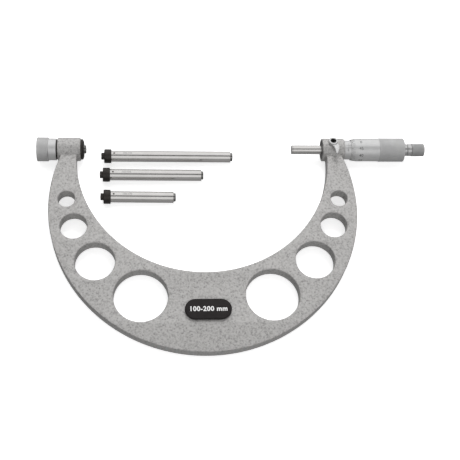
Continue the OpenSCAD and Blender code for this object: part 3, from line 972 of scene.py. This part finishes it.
def lock_matrix():
    """Places things drawn round +Z with the lever's tail along -Y on the lock's axis."""
    joint = joints["lock_lever_turn"]
    axis = Vector(joint["axis"]).normalized()
    down = Vector((1, 0, 0)).cross(axis)
    turned = Matrix((Vector((1, 0, 0)), -down, axis)).transposed().to_4x4()
    turned.translation = Vector(joint["pos_m"]) / MM
    return turned @ Matrix.Rotation(math.radians(LEVER_TURN), 4, "Z")


def tail_half(t):
    """Half width of the lever's tail, from its root (0) to its tip (1)."""
    return TAIL_SPREAD * (1 - t) ** 0.8 + TAIL_TIP_HALF


def tail_bend(t):
    """Sideways bend of the tail's middle line."""
    return TAIL_BEND * math.sin(math.pi * t)


def lever_tail(steps=28):
    """The tail: two facets that meet in a ridge, which sinks and narrows towards the tip."""
    rows = []
    root = (LEVER_BORE + 0.2) / TAIL_LEN
    for i in range(steps + 1):
        t = root + (1 - root) * i / steps
        y = -t * TAIL_LEN
        half, bend = tail_half(t), tail_bend(t)
        crest = 11.65 - 0.55 * t
        rim = LEVER_LOW + 0.5 - 0.1 * t
        ridge = bend - 0.62 * half
        section = [
            (bend - half, LEVER_LOW), (bend - half, rim), (bend - 0.84 * half, rim + 0.6 * (crest - rim)),
            (ridge - 0.06 * half, crest - 0.03), (ridge + 0.06 * half, crest - 0.03),
            (bend + 0.45 * half, rim + 0.5 * (crest - rim)), (bend + half, rim), (bend + half, LEVER_LOW),
        ]
        rows.append([(x, y, z) for x, z in section])
    return lofted(rows)


def build_lever():
    ring = revolve(rounded([
        (LEVER_SEAT, LEVER_BORE, 0), (LEVER_SEAT, LEVER_RING_R, 0),
        (LEVER_TOP, LEVER_RING_R, 0.7), (LEVER_TOP, LEVER_BORE, 0.25),
    ], closed=True, steps=5), closed=True, segments=96)
    ring.transform(Matrix.Rotation(math.radians(-90), 4, "Y"))
    finished("lever_forged", joined([ring, lever_tail()]), [POLISHED_CHROME], "lock",
             ["lock_lever"], lock_matrix(), sharp=24.0)


# ---------------------------------------------------------------- assembly

build_bow()
build_badge()
build_bush()
build_cap()
for anvil_body, anvil_range in (
    ("anvil_175", "175-200"), ("anvil_150", "150-175"), ("anvil_125", "125-150"), ("anvil_100", "100-125"),
):
    build_anvil(anvil_body, anvil_range)
build_spindle()
build_sleeve()
build_thimble()
build_ratchet()
build_lever()

# CAD nodes that are kept as they are, with a material
for kept_node, kept_material in (
    ("inner_sleeve", INNER), ("adjusting_nut", INNER), ("lock_shoe", BRASS), ("lock_screw", SOCKET_BLACK_SHADE),
    ("thrust_pad", INNER), ("ratchet_screw", BLACK), ("ratchet_pawl", INNER), ("pawl_spring", INNER),
):
    for material_slot in nodes[kept_node].material_slots:
        material_slot.material = kept_material


# ---------------------------------------------------------------- stage, light and camera

def build_table(size=3000.0, contact_inset=9.0, gap=0.02):
    """The white table top. It slopes, because the cap and the bow's far edge both rest on it."""
    cap_low = cad_box("clamp_cap")[0].z
    slope = (-cap_low - BOW_T / 2) / (OUTER_R + OUTER_DROP - contact_inset)
    mesh = bpy.data.meshes.new("table")
    corners = [(-size, -size), (size, -size), (size, size), (-size, size)]
    mesh.from_pydata([
        ((mid_x + x) * MM, y * MM, (cap_low - gap - slope * y) * MM) for x, y in corners
    ], [], [(0, 1, 2, 3)])
    material, tree, shader, place = node_material("table_white")
    tree.links.new(ramp(tree, noise(tree, place, 8), [(0.3, grey(0.93)), (0.7, grey(0.95))]),
                   shader.inputs["Base Color"])
    shader.inputs["Roughness"].default_value = 0.7
    shader.inputs["Emission Color"].default_value = (1, 1, 1, 1)
    shader.inputs["Emission Strength"].default_value = 0.6
    mesh.materials.append(material)
    table = placed("table", mesh)
    table.visible_glossy = False
    table.visible_diffuse = False


# Brightness of the studio by direction, in degrees from overhead towards the back
STRIPS = [
    (-180, 0.28), (-112, 0.42), (-102, 0.42), (-72, 0.40), (-62, 1.05), (-24, 1.05),
    (-16, 0.20), (2, 0.20), (12, 1.15), (88, 1.15), (104, 0.5), (180, 0.28),
]

# Share of that brightness by direction along the measuring axis, from -1 (left) to 1 (right)
ENDS = [(-0.95, 0.12), (-0.4, 0.9), (-0.2, 1.0), (0.35, 1.0), (0.95, 0.45)]


def build_world(strength):
    """A studio tent of white strips along the measuring axis, so that metal shows bands."""
    world = bpy.data.worlds.new("studio")
    bpy.context.scene.world = world
    world.use_nodes = True
    tree = world.node_tree
    place = tree.nodes.new("ShaderNodeTexCoord").outputs["Generated"]
    split = tree.nodes.new("ShaderNodeSeparateXYZ")
    tree.links.new(place, split.inputs[0])
    angle = tree.nodes.new("ShaderNodeMath")
    angle.operation = "ARCTAN2"
    tree.links.new(split.outputs["Y"], angle.inputs[0])
    tree.links.new(split.outputs["Z"], angle.inputs[1])
    share = tree.nodes.new("ShaderNodeMapRange")
    share.inputs["From Min"].default_value = -math.pi
    share.inputs["From Max"].default_value = math.pi
    tree.links.new(angle.outputs[0], share.inputs["Value"])
    colour = ramp(tree, share.outputs["Result"], [
        ((degrees + 180) / 360, grey(level)) for degrees, level in STRIPS
    ])
    sideways = tree.nodes.new("ShaderNodeMapRange")
    sideways.inputs["From Min"].default_value = -1.0
    tree.links.new(split.outputs["X"], sideways.inputs["Value"])
    dimming = ramp(tree, sideways.outputs["Result"], [
        ((x + 1) / 2, grey(level)) for x, level in ENDS
    ])
    product = tree.nodes.new("ShaderNodeVectorMath")
    product.operation = "MULTIPLY"
    tree.links.new(colour, product.inputs[0])
    tree.links.new(dimming, product.inputs[1])
    background = tree.nodes["Background"]
    tree.links.new(product.outputs[0], background.inputs["Color"])
    background.inputs["Strength"].default_value = strength


def soft_light(name, place, target, size, power):
    light = bpy.data.lights.new(name, "AREA")
    light.size = size
    light.energy = power
    holder = placed(name, light)
    holder.location = place
    holder.visible_glossy = False
    holder.rotation_euler = (Vector(target) - Vector(place)).to_track_quat("-Z", "Y").to_euler()


def build_camera():
    """Camera at the photograph's angle, from a fit to the bow and the measuring axis."""
    focal, distance = 2.10804, 811.9        # focal length in widths of the picture, distance in millimetres
    target = Vector((mid_x + 21.10, -77.23, 0))
    yaw, pitch, roll = (math.radians(a) for a in (-10.97, 64.49, 9.66))
    back = Vector((math.sin(yaw) * math.cos(pitch), -math.cos(yaw) * math.cos(pitch), math.sin(pitch)))
    right = Vector((math.cos(yaw), math.sin(yaw), 0))
    up = back.cross(right)
    rolled_right = right * math.cos(roll) + up * math.sin(roll)
    rolled_up = up * math.cos(roll) - right * math.sin(roll)
    data = bpy.data.cameras.new("camera")
    data.sensor_width = 36.0
    data.lens = focal * data.sensor_width
    camera = placed("camera", data)
    matrix = Matrix((rolled_right, rolled_up, back)).transposed().to_4x4()
    matrix.translation = (target + back * distance) * MM
    camera.matrix_world = matrix
    bpy.context.scene.camera = camera


build_table()
build_world(strength=1.05)
soft_light("top_soft", place=(0.25, 0.75, 0.85), target=(0.15, -0.05, 0), size=0.45, power=6.0)
build_camera()
bpy.context.scene.view_settings.view_transform = "Standard"
